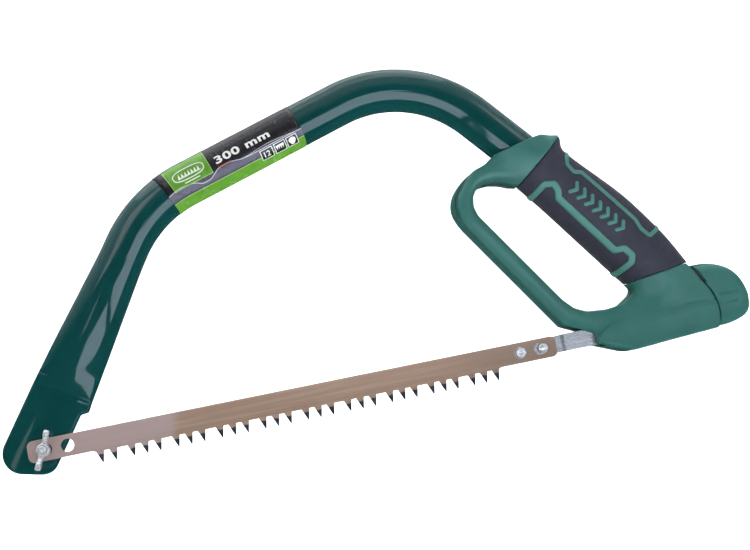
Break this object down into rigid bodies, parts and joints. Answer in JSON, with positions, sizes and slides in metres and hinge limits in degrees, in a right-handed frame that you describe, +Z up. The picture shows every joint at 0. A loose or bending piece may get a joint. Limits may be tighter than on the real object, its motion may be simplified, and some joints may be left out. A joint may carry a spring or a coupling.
{
  "type": "bow saw",
  "caption": "Small hand bow saw: a bent green tube frame with a toothed steel blade across it, a wing nut at the nose, and a D-guard handle with a soft grip and a tension lever.",
  "frame": {"origin": "under the middle of the saw's length, on the surface that it stands on, in the middle of its thickness", "axes": "+X along the blade from the nose to the handle, +Z up with the teeth pointing down, -Y the side with the wing nut"},
  "size_m": [0.4553, 0.034, 0.2001],
  "materials": {
    "green_gloss_paint": "gloss stoved paint",
    "label_print": "printed film",
    "zinc_steel": "bright zinc plate",
    "blade_steel": "bronze-tinted rolled steel",
    "green_moulding": "satin moulded nylon",
    "charcoal_rubber": "soft moulded elastomer",
    "light_green_moulding": "satin moulded nylon",
    "plain_steel": "plain ground steel"
  },
  "bodies": {
    "frame": {"frame_tube": "green_gloss_paint", "frame_label": "label_print", "tube_lock_pin": "plain_steel", "front_bolt": "zinc_steel", "pivot_pin": "plain_steel", "handle_shell_near": "green_moulding", "handle_shell_far": "green_moulding", "handle_screws": "zinc_steel", "grip_sleeve": "charcoal_rubber", "grip_stripe_front": "light_green_moulding", "grip_stripe_back": "light_green_moulding", "grip_emblem": "light_green_moulding"},
    "nut": {"wing_nut": "zinc_steel"},
    "blade_carriage": {"blade": "blade_steel", "blade_pin": "zinc_steel", "locating_stud": "zinc_steel", "drawbar": "zinc_steel", "cam_follower": "plain_steel"},
    "tension_lever": {"lever_cap": "green_moulding", "lever_yoke": "plain_steel", "cap_rivets": "plain_steel"}
  },
  "joints": [
    {"name": "lever_hinge", "type": "hinge", "parent": "frame", "child": "tension_lever", "pos_m": [0.175, 0, 0.016], "axis": [0, 1, 0], "range_deg": [0, 100]},
    {"name": "drawbar_slide", "type": "slide", "parent": "frame", "child": "blade_carriage", "axis": [-1, 0, 0], "range_m": [0, 0.0018]},
    {"name": "nut_spin", "type": "hinge", "parent": "frame", "child": "nut", "pos_m": [-0.204, -0.0054, 0.014], "axis": [0, -1, 0], "continuous": true}
  ],
  "couplings": [
    {"joint": "drawbar_slide", "follows": "lever_hinge", "m_per_rad": 0.00103}
  ]
}
